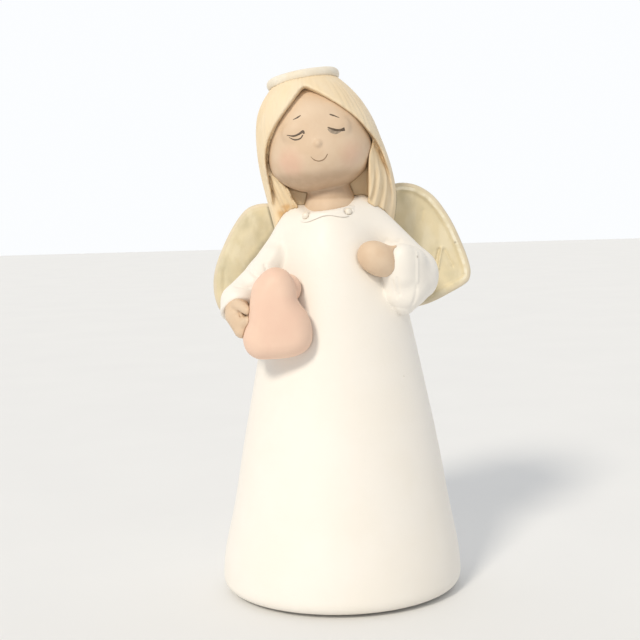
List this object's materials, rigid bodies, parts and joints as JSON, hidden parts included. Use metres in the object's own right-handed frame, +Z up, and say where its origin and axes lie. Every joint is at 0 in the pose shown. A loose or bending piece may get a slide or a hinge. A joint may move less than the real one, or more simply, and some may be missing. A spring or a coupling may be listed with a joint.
{
  "type": "resin angel figurine",
  "caption": "Standing cast-resin angel in a long gown with wings and a ring halo, holding a heart, on a flat felt-covered base.",
  "frame": {"origin": "centre of the felt pad's underside, on the surface that the figurine stands on", "axes": "+Z up, -Y the way the angel faces, +X towards the angel's own left"},
  "size_m": [0.0748, 0.0651, 0.1452],
  "materials": {
    "gown_resin": "cast resin, satin warm-white paint",
    "raw_resin": "unpainted cast resin",
    "felt": "pressed felt",
    "pearl": "smooth painted bead",
    "skin": "matte beige-peach paint with blushed cheeks",
    "heart_paint": "matte peach paint",
    "hair_paint": "matte pale blonde paint with honey shading",
    "halo_paint": "matte cream paint",
    "wing_paint": "brushed khaki-beige paint with a lighter rim",
    "steel_pin": "plain steel dowel"
  },
  "bodies": {
    "root": {"gown": "gown_resin", "base_plug": "raw_resin", "felt_pad": "felt", "collar": "gown_resin", "collar_pearls": "pearl", "sleeve_left": "gown_resin", "sleeve_right": "gown_resin", "hand_left": "skin", "hand_right": "skin", "heart": "heart_paint", "head": "skin", "hair": "hair_paint", "halo": "halo_paint", "wing_left": "wing_paint", "wing_right": "wing_paint", "neck_dowel": "steel_pin", "shoulder_dowels": "steel_pin", "wrist_dowels": "steel_pin", "wing_dowels": "steel_pin", "heart_pin": "steel_pin", "halo_pins": "steel_pin"}
  },
  "joints": []
}
